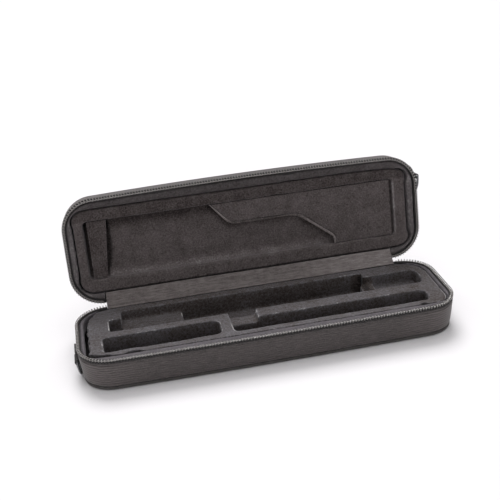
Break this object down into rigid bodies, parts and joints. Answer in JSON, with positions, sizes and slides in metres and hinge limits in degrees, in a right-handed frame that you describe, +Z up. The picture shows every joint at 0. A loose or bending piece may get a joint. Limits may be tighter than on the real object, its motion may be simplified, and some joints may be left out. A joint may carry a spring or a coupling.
{
  "type": "flute case",
  "caption": "Long zippered hard case with a fabric-hinged lid, plush pockets for a flute's joints, a lid pocket and D-rings on webbing tabs.",
  "frame": {"origin": "centre of the underside of the base", "axes": "+X along the length, to the right as the open case is faced; +Y towards the hinge; +Z up"},
  "size_m": [0.43, 0.1759, 0.1604],
  "materials": {
    "foam": "moulded foam board with a fabric facing",
    "woven_fabric": "plain woven nylon, matt",
    "velvet": "short velvet pile",
    "plush": "plush pile over foam",
    "zip_tape": "fine woven tape",
    "zip_coil": "nylon coil",
    "webbing": "ribbed webbing",
    "dark_metal": "black plated zinc"
  },
  "bodies": {
    "base": {"base_shell": "foam", "base_side_cover": "woven_fabric", "base_bottom_panel": "woven_fabric", "base_piping": "woven_fabric", "base_zip_tape": "zip_tape", "base_zip_teeth": "zip_coil", "base_inner_band": "velvet", "base_insert": "plush", "base_ring_tab": "webbing", "hinge_cover": "woven_fabric", "hinge_lining": "velvet", "zip_tail_left": "zip_coil", "zip_tail_right": "zip_coil"},
    "lid": {"lid_shell": "foam", "lid_side_cover": "woven_fabric", "lid_top_panel": "woven_fabric", "lid_piping": "woven_fabric", "lid_zip_tape": "zip_tape", "lid_zip_teeth": "zip_coil", "lid_inner_band": "velvet", "lid_border_frame": "plush", "lid_recess_pad": "plush", "lid_rod_strap": "velvet", "lid_pocket_panel": "plush", "lid_pocket_binding": "velvet", "lid_ring_tab": "webbing"},
    "base_ring": {"base_d_ring": "dark_metal"},
    "lid_ring": {"lid_d_ring": "dark_metal"},
    "left_slider": {"zip_slider_left": "dark_metal"},
    "right_slider": {"zip_slider_right": "dark_metal"},
    "left_pull": {"zip_pull_left": "dark_metal"},
    "right_pull": {"zip_pull_right": "dark_metal"}
  },
  "joints": [
    {"name": "lid_hinge", "type": "hinge", "parent": "base", "child": "lid", "pos_m": [0, 0.0637, 0.0375], "axis": [1, 0, 0], "range_deg": [0, 99.7], "deforming": ["hinge_cover", "hinge_lining"]},
    {"name": "base_ring_swing", "type": "hinge", "parent": "base", "child": "base_ring", "pos_m": [-0.21224, -0.017, 0.0207], "axis": [0, 1, 0], "range_deg": [-1, 158]},
    {"name": "lid_ring_swing", "type": "hinge", "parent": "lid", "child": "lid_ring", "pos_m": [0.21218, 0.09593, 0.13111], "axis": [0, -0.9857, 0.1685], "range_deg": [-3, 150]},
    {"name": "left_zip_slide", "type": "slide", "parent": "base", "child": "left_slider", "axis": [-1, 0, 0], "range_m": [0, 0.009]},
    {"name": "right_zip_slide", "type": "slide", "parent": "base", "child": "right_slider", "axis": [1, 0, 0], "range_m": [0, 0.009]},
    {"name": "left_pull_swing", "type": "hinge", "parent": "left_slider", "child": "left_pull", "pos_m": [-0.1553, 0.06919, 0.029], "axis": [0, 0, 1], "range_deg": [0, 165]},
    {"name": "right_pull_swing", "type": "hinge", "parent": "right_slider", "child": "right_pull", "pos_m": [0.1553, 0.06919, 0.029], "axis": [0, 0, -1], "range_deg": [0, 165]}
  ]
}
